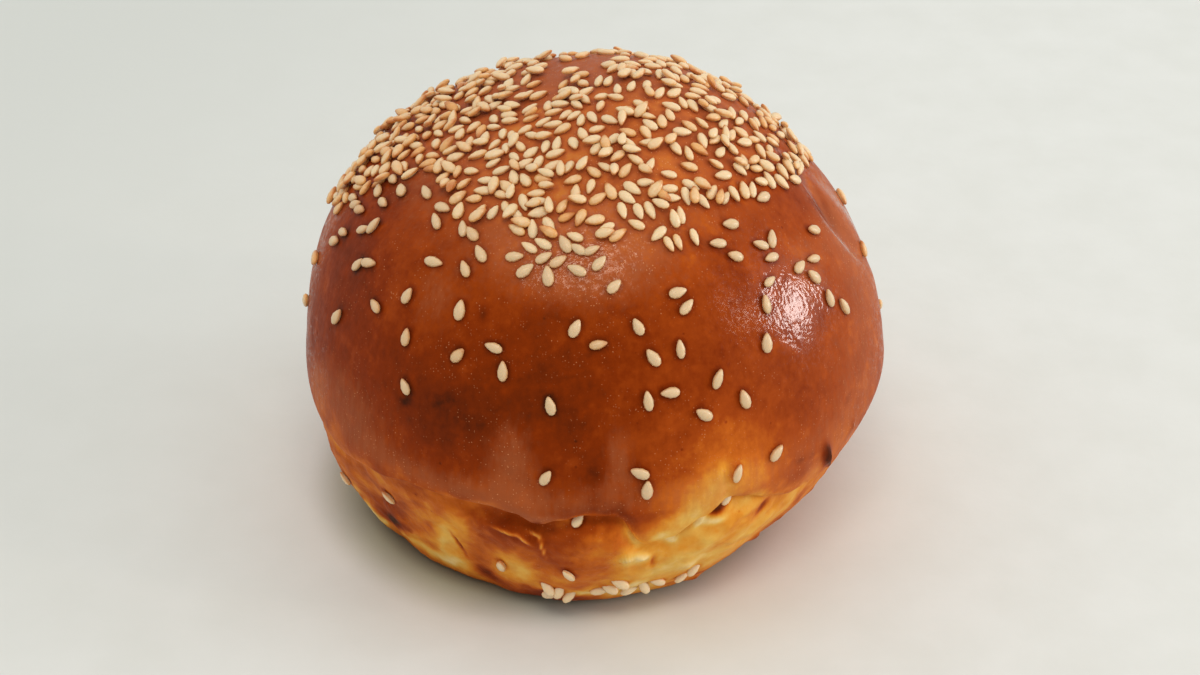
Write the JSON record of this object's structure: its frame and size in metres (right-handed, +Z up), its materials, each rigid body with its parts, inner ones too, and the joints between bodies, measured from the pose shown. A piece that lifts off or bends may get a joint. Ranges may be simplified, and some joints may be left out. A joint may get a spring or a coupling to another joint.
{
  "type": "hamburger bun",
  "caption": "Whole round hamburger bun: a high browned crown over a paler tapering foot with a fold under its lip, sesame seeds on the crown, and a flat underside to rest on.",
  "frame": {"origin": "centre of the flat underside's level, right under the middle of the widest ring", "axes": "+Z up through the crown; -Y towards the front, where the fold under the lip is deepest; +X to the right"},
  "size_m": [0.0971, 0.0977, 0.0772],
  "materials": {
    "crust": "egg-washed baked crust, chestnut brown on the crown, golden and cream on the foot",
    "seed": "lightly toasted sesame, ivory to golden"
  },
  "bodies": {
    "root": {"bun": "crust"}
  },
  "joints": []
}
